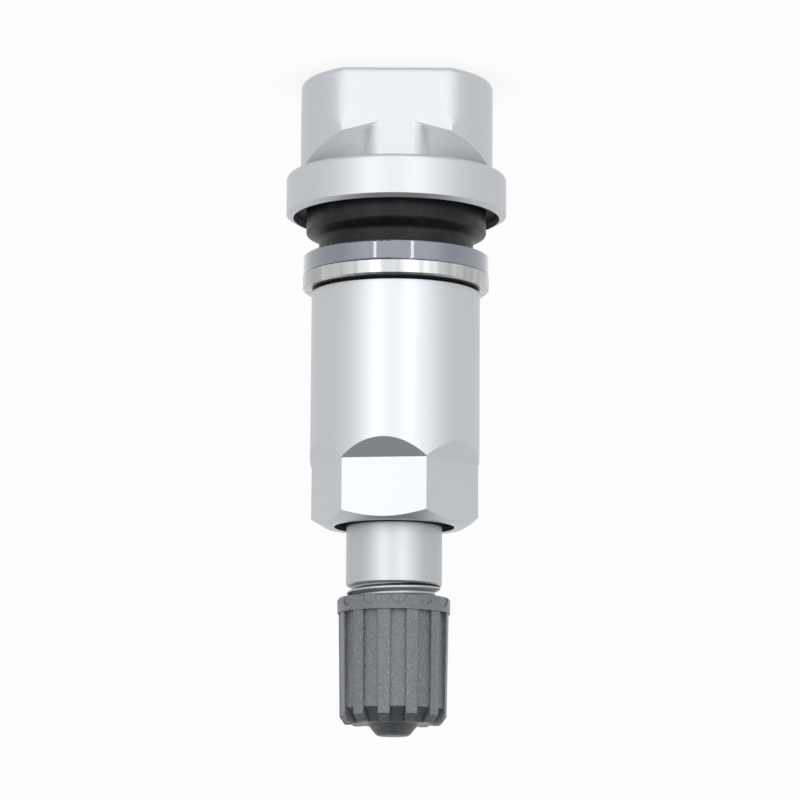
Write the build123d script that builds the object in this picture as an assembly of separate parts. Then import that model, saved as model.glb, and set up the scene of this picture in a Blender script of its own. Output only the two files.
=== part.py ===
from build123d import *
from math import cos, radians, sin, tan
import os

# Clamp-in valve of a tyre pressure sensor, without the electronics housing. Sizes in millimetres.
# The valve stands on the end face of its head: the origin is that face's centre, +Z runs along
# the stem to the cap, and -Y is square to the flat side of the head, between its two pockets.
# Threads are left as blanks: a male thread is at its root, a female one at its major diameter.

# Clearances
RUNNING_CLEARANCE = 0.03      # radial play of a thread and of a piece on its shaft
FACE_CLEARANCE = 0.02         # play between end faces that press on each other
WASHER_CLEARANCE = 0.10       # radial play of a washer on the thread
RECESS_CLEARANCE = 0.10       # radial play of the grommet in the flange's recess
GUIDE_CLEARANCE = 0.07        # radial play of the pin in the plug's bridge
COLLAR_CLEARANCE = 0.12       # radial play of the pin's collar in the barrel
THREAD_DEPTH_RATIO = 0.6134   # depth of a sixty degree thread for each millimetre of pitch
CUT_MARGIN = 1.0              # how far a cutter runs past what it cuts
EDGE_TOLERANCE = 0.0001       # for finding an edge by its place

# Head, which the sensor housing is screwed to
HEAD_DIAMETER = 16.0
HEAD_LENGTH = 7.86
HEAD_EDGE_RADIUS = 0.5
HEAD_FLAT_DEPTH = 1.4         # what the flat side takes off the round
NECK_WALL_DISTANCE = 5.1      # from the axis to the two flat walls that the pockets leave
NECK_WALL_ANGLE = 60.0        # turn of those walls from the front
NECK_CORNER_RADIUS = 2.0
NECK_OVERRUN = 0.06           # how far the neck would stand out of the flat side
POCKET_HEIGHT = 3.63          # from the flange to the pockets' roofs, in the middle of the flat side
POCKET_RISE_ANGLE = 16.7      # slope of a roof, backward and down to the flange
POCKET_SIDE_ANGLE = 14.6      # slope of the same roof, sideways and down
SCREW_THREAD_DIAMETER = 4.0
SCREW_HOLE_DEPTH = 6.5
SCREW_HOLE_CHAMFER = 0.3
DRILL_POINT_ANGLE = 118.0

# Flange, with the recess that the grommet sits in
FLANGE_DIAMETER = 18.3
FLANGE_THICKNESS = 3.56
FLANGE_EDGE_RADIUS = 0.4
FLANGE_CHAMFER_WIDTH = 0.5
FLANGE_CHAMFER_HEIGHT = 0.28
RIM_LIP_WIDTH = 0.08
RECESS_DEPTH = 1.02

# Shank and stem
BODY_LENGTH = 51.4            # from the head's end face to the end of the stem
SHANK_PLAIN_LENGTH = 2.9      # from the recess to the clamp thread, as thick as that thread
CLAMP_THREAD_DIAMETER = 9.0
CLAMP_THREAD_PITCH = 0.75
CLAMP_THREAD_LENGTH = 17.0
STEM_DIAMETER = 7.86
SHOULDER_CHAMFER = 0.12
VALVE_THREAD_DIAMETER = 7.7
VALVE_THREAD_PITCH = 0.794
VALVE_THREAD_LENGTH = 9.25
STEM_END_CHAMFER = 0.3

# Bore of the stem, from the cap end inwards
CORE_THREAD_DIAMETER = 5.22
CORE_THREAD_PITCH = 0.706
CORE_THREAD_LENGTH = 6.2
SEAT_TOP_DIAMETER = 4.8
SEAT_BOTTOM_DIAMETER = 4.04
SEAT_LENGTH = 2.4
CORE_CHAMBER_LENGTH = 7.4
AIR_BORE_DIAMETER = 2.4

# Rubber grommet
GROMMET_FLANGE_THICKNESS = 0.4
GROMMET_BODY_DIAMETER = 14.95
GROMMET_BODY_LENGTH = 1.98
GROMMET_SLOPE_LENGTH = 0.54
GROMMET_NECK_BASE_DIAMETER = 12.9
GROMMET_NECK_END_DIAMETER = 12.6
GROMMET_NECK_LENGTH = 1.38
GROMMET_EDGE_RADIUS = 0.25

# Washers
WASHER_DIAMETER = 15.42
INSULATING_WASHER_THICKNESS = 1.65
INSULATING_EDGE_RADIUS = 0.15
CLAMP_WASHER_THICKNESS = 1.17
CLAMP_WASHER_CHAMFER = 0.15

# Clamp nut
NUT_DIAMETER = 13.96
NUT_LENGTH = 19.7
NUT_BOSS_STEP = 0.7           # how far the ring that bears on the washer is set in
NUT_BOSS_HEIGHT = 0.12
NUT_EDGE_CHAMFER = 0.12
HEX_WIDTH = 12.0
HEX_LENGTH = 4.99
HEX_RUNOUT_LENGTH = 1.55      # slope from the hexagon up to the round
HEX_REST_ANGLE = 8.2          # turn of a face from the flat side of the head
NUT_END_STEP = 0.3            # how far the end face stays inside the hexagon's faces
NUT_END_CHAMFER_ANGLE = 30.0
NUT_MOUTH_STEP = 0.41         # how much wider the mouth is than the thread, on the radius
NUT_MOUTH_DEPTH = 5.5
NUT_LEAD_CHAMFER = 0.4

# Valve core
CORE_INSET = 0.3              # pin's tip under the end of the stem
PIN_DIAMETER = 1.0
PIN_TIP_RADIUS = 0.2
PIN_PROUD_LENGTH = 0.5        # pin above the plug's bridge
PIN_COLLAR_THICKNESS = 0.4
PIN_COLLAR_DEPTH = 5.8        # from the pin's tip to the collar
PIN_RIVET_LENGTH = 0.15
PIN_RIVET_STEP = 0.25
BRIDGE_WIDTH = 1.7
BRIDGE_HEIGHT = 1.4
PLUG_BODY_LENGTH = 3.5
PLUG_BORE_DIAMETER = 2.3
PLUG_SKIRT_DEPTH = 1.0
PLUG_LIP_THICKNESS = 0.2
BARREL_BORE_DIAMETER = 2.1
BARREL_NECK_WALL = 0.33
BARREL_NECK_LENGTH = 3.05
BARREL_FLANGE_STEP = 0.28     # flange outside the neck
BARREL_FLANGE_THICKNESS = 0.65
BARREL_STEP = 0.37            # lower part of the barrel outside the neck
BARREL_LENGTH = 4.6
BARREL_SEAT_GAP = 0.14        # air gap round the pin at the valve seat
BARREL_SEAT_THICKNESS = 0.5
GASKET_LENGTH = 1.8
SPRING_WIRE_DIAMETER = 0.26
SPRING_TURNS = 8
CUP_DIAMETER = 2.8
CUP_WALL = 0.15
CUP_DEPTH = 0.5
CUP_SEAL_THICKNESS = 0.55

# Cap
CAP_LENGTH = 10.24
CAP_END_WALL = 1.1
CAP_WALL = 0.49               # with the rib, at the closed end
CAP_TAPER = 0.13              # how much thicker that wall is at the rim
CAP_RIM_STEP = 0.11
CAP_RIM_HEIGHT = 1.24
CAP_END_CHAMFER_WIDTH = 0.4
CAP_END_CHAMFER_HEIGHT = 0.6
CAP_MOUTH_STEP = 0.17         # how much wider the mouth is than the thread, on the radius
CAP_MOUTH_DEPTH = 1.1
CAP_MOUTH_CHAMFER = 0.12
RIB_COUNT = 12
RIB_REST_ANGLE = 10.0         # turn of a rib from the flat side of the head
GROOVE_WIDTH = 1.3
GROOVE_DEPTH = 0.22
GROOVE_RUNOUT_LENGTH = 1.2
GROOVE_RUNOUT_DEPTH = 0.9
NOTCH_WIDTH = 1.2
NOTCH_LENGTH = 0.8
NUB_BASE_DIAMETER = 4.2
NUB_SHOULDER_DIAMETER = 2.6
NUB_EDGE_RADIUS = 0.55
NUB_HEIGHT = 0.98
CAP_SEAL_THICKNESS = 0.88
CAP_SEAL_BORE_DIAMETER = 4.0

# Sizes worked out from those above
head_radius = HEAD_DIAMETER / 2
head_flat_distance = head_radius - HEAD_FLAT_DEPTH
flange_radius = FLANGE_DIAMETER / 2
shank_radius = CLAMP_THREAD_DIAMETER / 2
recess_radius = flange_radius - FLANGE_CHAMFER_WIDTH - RIM_LIP_WIDTH
clamp_root_radius = shank_radius - THREAD_DEPTH_RATIO * CLAMP_THREAD_PITCH
clamp_bore_radius = shank_radius + RUNNING_CLEARANCE
washer_bore_radius = shank_radius + WASHER_CLEARANCE
valve_root_radius = VALVE_THREAD_DIAMETER / 2 - THREAD_DEPTH_RATIO * VALVE_THREAD_PITCH
core_root_radius = CORE_THREAD_DIAMETER / 2 - THREAD_DEPTH_RATIO * CORE_THREAD_PITCH
pin_radius = PIN_DIAMETER / 2
barrel_bore_radius = BARREL_BORE_DIAMETER / 2
barrel_neck_radius = barrel_bore_radius + BARREL_NECK_WALL
barrel_flange_radius = barrel_neck_radius + BARREL_FLANGE_STEP
cap_bore_radius = VALVE_THREAD_DIAMETER / 2 + RUNNING_CLEARANCE
cap_end_radius = cap_bore_radius + CAP_WALL
cap_body_radius = cap_end_radius + CAP_TAPER
cap_rim_radius = cap_body_radius + CAP_RIM_STEP

# Levels of the stem, counted from the head's end face
rim_z = HEAD_LENGTH + FLANGE_THICKNESS
recess_z = rim_z - RECESS_DEPTH
clamp_thread_z = recess_z + SHANK_PLAIN_LENGTH
clamp_thread_end_z = clamp_thread_z + CLAMP_THREAD_LENGTH
stem_end_z = BODY_LENGTH
shoulder_z = stem_end_z - VALVE_THREAD_LENGTH
seat_top_z = stem_end_z - CORE_THREAD_LENGTH
seat_bottom_z = seat_top_z - SEAT_LENGTH
chamber_end_z = seat_bottom_z - CORE_CHAMBER_LENGTH

# Levels of what is stacked on the shank
grommet_face_z = recess_z + GROMMET_FLANGE_THICKNESS
grommet_slope_z = grommet_face_z + GROMMET_BODY_LENGTH
grommet_neck_z = grommet_slope_z + GROMMET_SLOPE_LENGTH
grommet_end_z = grommet_neck_z + GROMMET_NECK_LENGTH
insulating_end_z = grommet_end_z + INSULATING_WASHER_THICKNESS
clamp_washer_z = insulating_end_z + FACE_CLEARANCE
clamp_washer_end_z = clamp_washer_z + CLAMP_WASHER_THICKNESS
nut_z = clamp_washer_end_z + FACE_CLEARANCE
nut_end_z = nut_z + NUT_LENGTH

# Levels of the valve core, from the pin's tip inwards
pin_tip_z = stem_end_z - CORE_INSET
bridge_top_z = pin_tip_z - PIN_PROUD_LENGTH
plug_top_z = bridge_top_z - BRIDGE_HEIGHT
plug_end_z = plug_top_z - PLUG_BODY_LENGTH
barrel_flange_z = plug_end_z + PLUG_LIP_THICKNESS + FACE_CLEARANCE
barrel_top_z = barrel_flange_z + BARREL_FLANGE_THICKNESS
barrel_shoulder_z = barrel_flange_z - BARREL_NECK_LENGTH
barrel_end_z = barrel_shoulder_z - BARREL_LENGTH
spring_seat_z = barrel_end_z + BARREL_SEAT_THICKNESS
collar_z = pin_tip_z - PIN_COLLAR_DEPTH
cup_seal_top_z = barrel_end_z - FACE_CLEARANCE
cup_floor_z = cup_seal_top_z - CUP_SEAL_THICKNESS
cup_end_z = cup_floor_z - CUP_WALL

# Levels of the cap
cap_seal_z = stem_end_z + FACE_CLEARANCE
cap_ceiling_z = cap_seal_z + CAP_SEAL_THICKNESS
cap_end_z = cap_ceiling_z + CAP_END_WALL
cap_mouth_z = cap_end_z - CAP_LENGTH


def turned(*points):
    """Solid of revolution about Z through (radius, height) points."""
    outline = Polyline(*[(radius, 0, height) for radius, height in points], close=True)
    return revolve(make_face(outline), Axis.Z)


def tube(outer_radius, inner_radius, low_z, high_z):
    """Plain ring between two heights."""
    return turned((inner_radius, low_z), (outer_radius, low_z),
                  (outer_radius, high_z), (inner_radius, high_z))


def circles_at(shape, height, radius):
    """Round edges of one radius at one height."""
    def matches(edge):
        middle_z = edge.center(CenterOf.BOUNDING_BOX).Z
        return abs(middle_z - height) < EDGE_TOLERANCE and abs(edge.radius - radius) < EDGE_TOLERANCE

    return shape.edges().filter_by(GeomType.CIRCLE).filter_by(matches)


def around_axis(cutter, count, first_angle):
    """Copies of a cutter at equal steps round Z, the first turned from -Y."""
    return [Rot(0, 0, first_angle + 360 * index / count) * cutter for index in range(count)]


def radial_cutter(width, *points):
    """Prism across -Y: its (distance from the axis, height) outline, made `width` wide."""
    outline = Polyline(*[(0, -distance, height) for distance, height in points], close=True)
    return extrude(make_face(outline), amount=width / 2, dir=(1, 0, 0), both=True)


def neck_outline():
    """Section of the neck: a rounded front between two walls that run apart to the back."""
    turn = radians(NECK_WALL_ANGLE)
    front, back = head_flat_distance + NECK_OVERRUN, -HEAD_DIAMETER
    front_width, back_width = [(NECK_WALL_DISTANCE - distance * cos(turn)) / sin(turn)
                               for distance in (front, back)]
    outline = make_face(Polyline((front_width, -front), (back_width, -back),
                                 (-back_width, -back), (-front_width, -front), close=True))
    return fillet(outline.vertices().group_by(Axis.Y)[0], NECK_CORNER_RADIUS)


def head_pocket(side):
    """Space beside the neck, from the flange up to a sloping roof, on one side of the front."""
    reach = HEAD_DIAMETER
    band = Pos(side * reach / 2, 0, HEAD_LENGTH - reach / 2) * Box(reach, 2 * reach, reach)
    neck = Pos(0, 0, HEAD_LENGTH - reach) * extrude(neck_outline(), amount=reach)
    rise, fall = tan(radians(POCKET_RISE_ANGLE)), tan(radians(POCKET_SIDE_ANGLE))
    roof_start = (0, -head_flat_distance, HEAD_LENGTH - POCKET_HEIGHT)
    roof = Plane(origin=roof_start, z_dir=(-side * fall, -rise, 1))
    return split(band - neck, bisect_by=roof, keep=Keep.TOP)


def head():
    """Round head with its flat side, softened end edge and the two pockets."""
    reach = HEAD_DIAMETER
    body = Pos(0, 0, HEAD_LENGTH / 2) * Cylinder(head_radius, HEAD_LENGTH)
    beyond_flat = Pos(0, -head_flat_distance - reach / 2, 0) * Box(2 * reach, reach, 2 * reach)
    body -= beyond_flat
    body = fillet(body.edges().group_by(Axis.Z)[0], HEAD_EDGE_RADIUS)
    for side in (-1, 1):
        body -= head_pocket(side)
    return body


def flange_and_stem():
    """Turned part of the valve body: flange with its recess, shank, plain stem and cap thread."""
    chamfer_z = rim_z - FLANGE_CHAMFER_HEIGHT
    stem_radius = STEM_DIAMETER / 2
    shank_step = shank_radius - clamp_root_radius
    body = turned(
        (0, HEAD_LENGTH),
        (flange_radius, HEAD_LENGTH),
        (flange_radius, chamfer_z),
        (flange_radius - FLANGE_CHAMFER_WIDTH, rim_z),
        (recess_radius, rim_z),
        (recess_radius, recess_z),
        (shank_radius, recess_z),
        (shank_radius, clamp_thread_z - shank_step),
        (clamp_root_radius, clamp_thread_z),
        (clamp_root_radius, clamp_thread_end_z - (clamp_root_radius - stem_radius)),
        (stem_radius, clamp_thread_end_z),
        (stem_radius, shoulder_z - SHOULDER_CHAMFER),
        (stem_radius - SHOULDER_CHAMFER, shoulder_z),
        (valve_root_radius, shoulder_z),
        (valve_root_radius, stem_end_z - STEM_END_CHAMFER),
        (valve_root_radius - STEM_END_CHAMFER, stem_end_z),
        (0, stem_end_z))
    return fillet(circles_at(body, HEAD_LENGTH, flange_radius), FLANGE_EDGE_RADIUS)


def stem_bore():
    """Everything drilled along the axis: screw hole, air bore, chamber, seat and core thread."""
    screw_radius, air_radius = SCREW_THREAD_DIAMETER / 2, AIR_BORE_DIAMETER / 2
    chamber_radius, seat_radius = SEAT_BOTTOM_DIAMETER / 2, SEAT_TOP_DIAMETER / 2
    core_radius = CORE_THREAD_DIAMETER / 2
    point_slope = 1 / tan(radians(DRILL_POINT_ANGLE / 2))
    return turned(
        (0, 0),
        (screw_radius + SCREW_HOLE_CHAMFER, 0),
        (screw_radius, SCREW_HOLE_CHAMFER),
        (screw_radius, SCREW_HOLE_DEPTH),
        (air_radius, SCREW_HOLE_DEPTH + (screw_radius - air_radius) * point_slope),
        (air_radius, chamber_end_z - (chamber_radius - air_radius) * point_slope),
        (chamber_radius, chamber_end_z),
        (chamber_radius, seat_bottom_z),
        (seat_radius, seat_top_z),
        (core_radius, seat_top_z + core_radius - seat_radius),
        (core_radius, stem_end_z),
        (0, stem_end_z))


def valve_body():
    """Head, flange and stem in one piece, bored right through."""
    return head() + flange_and_stem() - stem_bore()


def rim_grommet():
    """Rubber ring that seals the rim's hole: a disc in the recess, a body and a neck."""
    body_radius, neck_radius = GROMMET_BODY_DIAMETER / 2, GROMMET_NECK_BASE_DIAMETER / 2
    disc_radius = recess_radius - RECESS_CLEARANCE
    ring = turned(
        (shank_radius, recess_z),
        (disc_radius, recess_z),
        (disc_radius, grommet_face_z),
        (body_radius, grommet_face_z),
        (body_radius, grommet_slope_z),
        (neck_radius, grommet_neck_z),
        (GROMMET_NECK_END_DIAMETER / 2, grommet_end_z),
        (shank_radius, grommet_end_z))
    slope_edges = circles_at(ring, grommet_slope_z, body_radius)
    neck_edges = circles_at(ring, grommet_neck_z, neck_radius)
    return fillet(slope_edges + neck_edges, GROMMET_EDGE_RADIUS)


def insulating_washer():
    """Plain plastic washer between the rubber and the metal washer."""
    radius = WASHER_DIAMETER / 2
    ring = tube(radius, washer_bore_radius, grommet_end_z, insulating_end_z)
    rims = circles_at(ring, grommet_end_z, radius) + circles_at(ring, insulating_end_z, radius)
    return fillet(rims, INSULATING_EDGE_RADIUS)


def clamp_washer():
    """Metal washer that the nut turns on, chamfered towards the nut."""
    ring = tube(WASHER_DIAMETER / 2, washer_bore_radius, clamp_washer_z, clamp_washer_end_z)
    return chamfer(circles_at(ring, clamp_washer_end_z, WASHER_DIAMETER / 2), CLAMP_WASHER_CHAMFER)


def hex_face_cutter():
    """What is milled off one face of the hexagon, with the slope where the cutter ran out."""
    flat, reach = HEX_WIDTH / 2, NUT_DIAMETER
    hex_z = nut_end_z - HEX_LENGTH
    runout_per_mm = HEX_RUNOUT_LENGTH / (NUT_DIAMETER / 2 - flat)
    past_end_z = nut_end_z + CUT_MARGIN
    return radial_cutter(2 * reach, (flat, past_end_z), (flat, hex_z),
                         (reach, hex_z - (reach - flat) * runout_per_mm), (reach, past_end_z))


def clamp_nut():
    """Long round nut with a hexagon at its cap end and an open mouth round the stem."""
    radius, end_face_radius = NUT_DIAMETER / 2, HEX_WIDTH / 2 - NUT_END_STEP
    boss_radius, mouth_radius = radius - NUT_BOSS_STEP, clamp_bore_radius + NUT_MOUTH_STEP
    boss_z = nut_z + NUT_BOSS_HEIGHT
    mouth_z = nut_end_z - NUT_MOUTH_DEPTH
    end_drop = (radius - end_face_radius) * tan(radians(NUT_END_CHAMFER_ANGLE))
    nut = turned(
        (clamp_bore_radius + NUT_LEAD_CHAMFER, nut_z),
        (boss_radius, nut_z),
        (boss_radius, boss_z),
        (radius - NUT_EDGE_CHAMFER, boss_z),
        (radius, boss_z + NUT_EDGE_CHAMFER),
        (radius, nut_end_z - end_drop),
        (end_face_radius, nut_end_z),
        (mouth_radius, nut_end_z),
        (mouth_radius, mouth_z),
        (clamp_bore_radius, mouth_z - NUT_MOUTH_STEP),
        (clamp_bore_radius, nut_z + NUT_LEAD_CHAMFER))
    for cutter in around_axis(hex_face_cutter(), 6, HEX_REST_ANGLE):
        nut -= cutter
    return nut


def core_plug():
    """Threaded plug of the valve core: a ring, a skirt round the barrel and a bridge for the key."""
    skirt_radius = barrel_flange_radius + RUNNING_CLEARANCE
    lip_radius = barrel_neck_radius + RUNNING_CLEARANCE
    lip_z, skirt_z = plug_end_z + PLUG_LIP_THICKNESS, plug_end_z + PLUG_SKIRT_DEPTH
    ring = turned(
        (lip_radius, plug_end_z),
        (core_root_radius, plug_end_z),
        (core_root_radius, plug_top_z),
        (PLUG_BORE_DIAMETER / 2, plug_top_z),
        (PLUG_BORE_DIAMETER / 2, skirt_z),
        (skirt_radius, skirt_z),
        (skirt_radius, lip_z),
        (lip_radius, lip_z))
    middle = Pos(0, 0, plug_top_z + BRIDGE_HEIGHT / 2)
    bridge = middle * (Box(2 * core_root_radius, BRIDGE_WIDTH, BRIDGE_HEIGHT)
                       & Cylinder(core_root_radius, BRIDGE_HEIGHT))
    guide = middle * Cylinder(pin_radius + GUIDE_CLEARANCE, 2 * BRIDGE_HEIGHT)
    return ring + bridge - guide


def core_barrel():
    """Sleeve under the plug: a flange that swivels in the skirt, a neck for the gasket and the seat."""
    radius, seat_radius = barrel_neck_radius + BARREL_STEP, pin_radius + BARREL_SEAT_GAP
    return turned(
        (seat_radius, barrel_end_z),
        (radius, barrel_end_z),
        (radius, barrel_shoulder_z),
        (barrel_neck_radius, barrel_shoulder_z),
        (barrel_neck_radius, barrel_flange_z),
        (barrel_flange_radius, barrel_flange_z),
        (barrel_flange_radius, barrel_top_z),
        (barrel_bore_radius, barrel_top_z),
        (barrel_bore_radius, spring_seat_z),
        (seat_radius, spring_seat_z))


def stem_seat_radius(height):
    """Radius of the stem's tapered seat at a height."""
    taper = (SEAT_TOP_DIAMETER - SEAT_BOTTOM_DIAMETER) / 2 / SEAT_LENGTH
    return SEAT_BOTTOM_DIAMETER / 2 + (height - seat_bottom_z) * taper


def core_gasket():
    """Tapered sealing ring on the barrel's neck, lying in the stem's tapered seat."""
    low_z, high_z = barrel_shoulder_z, barrel_shoulder_z + GASKET_LENGTH
    return turned(
        (barrel_neck_radius, low_z),
        (stem_seat_radius(low_z) - FACE_CLEARANCE, low_z),
        (stem_seat_radius(high_z) - FACE_CLEARANCE, high_z),
        (barrel_neck_radius, high_z))


def core_pin():
    """Plunger: an inflator presses its tip, and its foot is riveted into the cup."""
    collar_radius, rivet_radius = barrel_bore_radius - COLLAR_CLEARANCE, pin_radius + PIN_RIVET_STEP
    pin = turned(
        (0, cup_end_z - PIN_RIVET_LENGTH),
        (rivet_radius, cup_end_z - PIN_RIVET_LENGTH),
        (rivet_radius, cup_end_z),
        (pin_radius, cup_end_z),
        (pin_radius, collar_z),
        (collar_radius, collar_z),
        (collar_radius, collar_z + PIN_COLLAR_THICKNESS),
        (pin_radius, collar_z + PIN_COLLAR_THICKNESS),
        (pin_radius, pin_tip_z),
        (0, pin_tip_z))
    return fillet(circles_at(pin, pin_tip_z, pin_radius), PIN_TIP_RADIUS)


def core_spring():
    """Coil spring round the pin, from the barrel's seat to the pin's collar."""
    height = collar_z - spring_seat_z - SPRING_WIRE_DIAMETER - 2 * FACE_CLEARANCE
    coil = Helix(pitch=height / SPRING_TURNS, height=height, radius=(pin_radius + barrel_bore_radius) / 2)
    wire = Plane(origin=coil @ 0, z_dir=coil % 0) * Circle(SPRING_WIRE_DIAMETER / 2)
    lift = spring_seat_z + FACE_CLEARANCE + SPRING_WIRE_DIAMETER / 2
    return Pos(0, 0, lift) * sweep(wire, path=coil, is_frenet=True)


def core_cup():
    """Small drawn cup on the foot of the pin, holding the seal that closes the barrel."""
    radius = CUP_DIAMETER / 2
    return turned(
        (pin_radius, cup_end_z),
        (radius, cup_end_z),
        (radius, cup_end_z + CUP_DEPTH),
        (radius - CUP_WALL, cup_end_z + CUP_DEPTH),
        (radius - CUP_WALL, cup_floor_z),
        (pin_radius, cup_floor_z))


def core_cup_seal():
    """Soft ring in the cup, pressed on the end of the barrel."""
    return tube(CUP_DIAMETER / 2 - CUP_WALL, pin_radius, cup_floor_z, cup_seal_top_z)


def cap_groove_cutter():
    """Groove between two ribs, with the slope that runs out on the cap's closed end."""
    floor = cap_end_radius - GROOVE_DEPTH
    foot = floor - GROOVE_RUNOUT_DEPTH
    low_z, past_end_z = cap_mouth_z + CAP_RIM_HEIGHT, cap_end_z + CUT_MARGIN
    reach = cap_rim_radius + CUT_MARGIN
    return radial_cutter(GROOVE_WIDTH, (floor, low_z), (floor, cap_end_z - GROOVE_RUNOUT_LENGTH),
                         (foot, cap_end_z), (foot, past_end_z), (reach, past_end_z), (reach, low_z))


def cap_notch_cutter():
    """Round-ended notch in the rim of the cap, in line with a groove."""
    front = Plane(origin=(0, -cap_body_radius, cap_mouth_z), x_dir=(1, 0, 0), z_dir=(0, -1, 0))
    outline = SlotOverall(2 * NOTCH_LENGTH, NOTCH_WIDTH, rotation=90)
    return extrude(front * outline, amount=CAP_RIM_STEP + CUT_MARGIN)


def cap_nub():
    """Low dome in the middle of the cap's closed end."""
    base, shoulder, top_z = NUB_BASE_DIAMETER / 2, NUB_SHOULDER_DIAMETER / 2, cap_end_z + NUB_HEIGHT
    root_z = cap_ceiling_z + CAP_END_WALL / 2
    dome = turned((0, root_z), (base, root_z), (base, cap_end_z), (shoulder, top_z), (0, top_z))
    return fillet(circles_at(dome, top_z, shoulder), NUB_EDGE_RADIUS)


def cap_shell():
    """Moulded cap: ribbed outside with a notched rim, bored for the thread and the seal."""
    mouth_radius = cap_bore_radius + CAP_MOUTH_STEP
    rim_end_z, mouth_end_z = cap_mouth_z + CAP_RIM_HEIGHT, cap_mouth_z + CAP_MOUTH_DEPTH
    shell = turned(
        (0, cap_ceiling_z),
        (cap_bore_radius, cap_ceiling_z),
        (cap_bore_radius, mouth_end_z),
        (mouth_radius, mouth_end_z),
        (mouth_radius, cap_mouth_z + CAP_MOUTH_CHAMFER),
        (mouth_radius + CAP_MOUTH_CHAMFER, cap_mouth_z),
        (cap_rim_radius - CAP_MOUTH_CHAMFER, cap_mouth_z),
        (cap_rim_radius, cap_mouth_z + CAP_MOUTH_CHAMFER),
        (cap_rim_radius, rim_end_z),
        (cap_body_radius, rim_end_z),
        (cap_end_radius, cap_end_z - CAP_END_CHAMFER_HEIGHT),
        (cap_end_radius - CAP_END_CHAMFER_WIDTH, cap_end_z),
        (0, cap_end_z))
    half_step = 180 / RIB_COUNT
    for cutter in (cap_groove_cutter(), cap_notch_cutter()):
        for copy in around_axis(cutter, RIB_COUNT, RIB_REST_ANGLE + half_step):
            shell -= copy
    return shell + cap_nub()


def cap_seal():
    """Rubber ring in the bottom of the cap, pressed on the end of the stem."""
    return tube(cap_bore_radius - RUNNING_CLEARANCE, CAP_SEAL_BORE_DIAMETER / 2, cap_seal_z, cap_ceiling_z)


PIECES = (valve_body, rim_grommet, insulating_washer, clamp_washer, clamp_nut, core_plug, core_gasket,
          core_barrel, core_pin, core_spring, core_cup, core_cup_seal, cap_shell, cap_seal)

os.makedirs("parts", exist_ok=True)
for piece in PIECES:
    export_step(piece(), f"parts/{piece.__name__}.step")
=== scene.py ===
from math import cos, pi, radians, sin

import bpy
from mathutils import Matrix, Vector


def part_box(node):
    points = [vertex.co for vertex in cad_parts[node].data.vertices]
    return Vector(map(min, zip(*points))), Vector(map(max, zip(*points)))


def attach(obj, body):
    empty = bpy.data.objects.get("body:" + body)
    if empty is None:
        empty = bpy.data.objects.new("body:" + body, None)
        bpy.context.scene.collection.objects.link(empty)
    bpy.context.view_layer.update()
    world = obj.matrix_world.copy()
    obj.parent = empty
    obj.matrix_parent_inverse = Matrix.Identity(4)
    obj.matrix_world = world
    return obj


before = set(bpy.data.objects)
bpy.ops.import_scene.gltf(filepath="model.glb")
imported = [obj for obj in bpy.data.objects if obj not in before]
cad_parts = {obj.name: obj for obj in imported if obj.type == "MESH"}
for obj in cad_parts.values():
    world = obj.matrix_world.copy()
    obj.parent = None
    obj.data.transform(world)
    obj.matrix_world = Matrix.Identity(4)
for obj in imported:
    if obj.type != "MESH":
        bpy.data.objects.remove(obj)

# Clamp-in wheel valve: finishes of its parts, its screw threads and a small studio.
# The valve stands on its head. The picture shows it head up, so the camera is rolled by a half turn.

bl_info = {
    "name": "Wheel Valve Finish",
    "version": (1, 0, 0),
    "blender": (4, 5, 0),
    "location": "3D View > Sidebar > Valve",
    "description": "Finishes, screw threads and a studio for a clamp-in wheel valve",
    "category": "Object",
}

MM = 0.001
HALF_TURN = pi
PICTURE_WIDTH = 800           # pixels
SENSOR_WIDTH = 36             # of the camera, in millimetres
FLANGE_THICKNESS = 3.56 * MM  # of the body, with the rim of the recess that holds the grommet
RECESS_DEPTH = 1.02 * MM
NECK_FRONT = 6.6 * MM         # from the axis to the flat side, which runs on between the pockets
CHANGE = 0.01 * MM            # height over which one finish gives way to the next
MOUTH_SHADE = 2.0 * MM        # how far in the stem it is painted dark as shade, below the edge of the nut's mouth
EDGE_RADIUS = 0.06 * MM       # of the broken edges on metal
BLEND_RADIUS = 3.0 * MM       # of the head's upright edges, which look soft
SOFT_RAYS = 8                 # that find soft edges and dark corners
BLAST_GRAIN = 0.16 * MM       # drawn about three times as coarse as it is, so that it shows
TURNING_MARKS = 0.2 * MM      # on the stem, drawn about twice as coarse as they are
FLOOR_HALF = 3.0              # metres
FLOOR_GAP = 0.02 * MM         # keeps the floor off the head's end face
FLOOR_GLOW = 0.95             # share of the floor's white that no lamp gives
FRONT_EDGE = radians(74)      # from the camera's side, where the room starts to get brighter
FRONT_CORE = radians(34)      # and inside which it is brightest
OVERHEAD = radians(60)        # height of the middle of the room's darker part
TOP_FILL = 0.42               # share of the fill that comes from straight above
CLIP_NEAR, CLIP_FAR = 0.01, 10  # metres
RIDGE_DEPTH = 0.6134          # of a screw thread, as shares of its pitch
RIDGE_ROOT = 0.80
RIDGE_CREST = 0.16
RIDGE_STEPS = 48              # per turn
SHARP_ANGLE = radians(40)     # past which a ridge's edge stays sharp
VALVE_THREAD_END = 0.5 * MM   # below the stem's end
CAP_THREAD_END = 0.3 * MM
CLAMP_THREAD_END = 7.5 * MM   # below the nut's edge, inside which the threads lie
NUT_THREAD_END = 6.6 * MM
POCKET_COLOUR = "#EDEFF1"
PLATING_COLOURS = ("#B5AC97", "#CFC8B6")
GASKET_COLOURS = ("#D8D6CE", "#F0EFEA")
WIRE_COLOURS = ("#9EA2A6", "#C3C6C9")
PAPER_COLOUR = "#F2F2F2"


def linear(code):
    """Linear colour of an sRGB hex value."""
    parts = [int(code[place:place + 2], 16) / 255 for place in (1, 3, 5)]
    return tuple(p / 12.92 if p <= 0.04045 else ((p + 0.055) / 1.055) ** 2.4 for p in parts)


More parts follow.
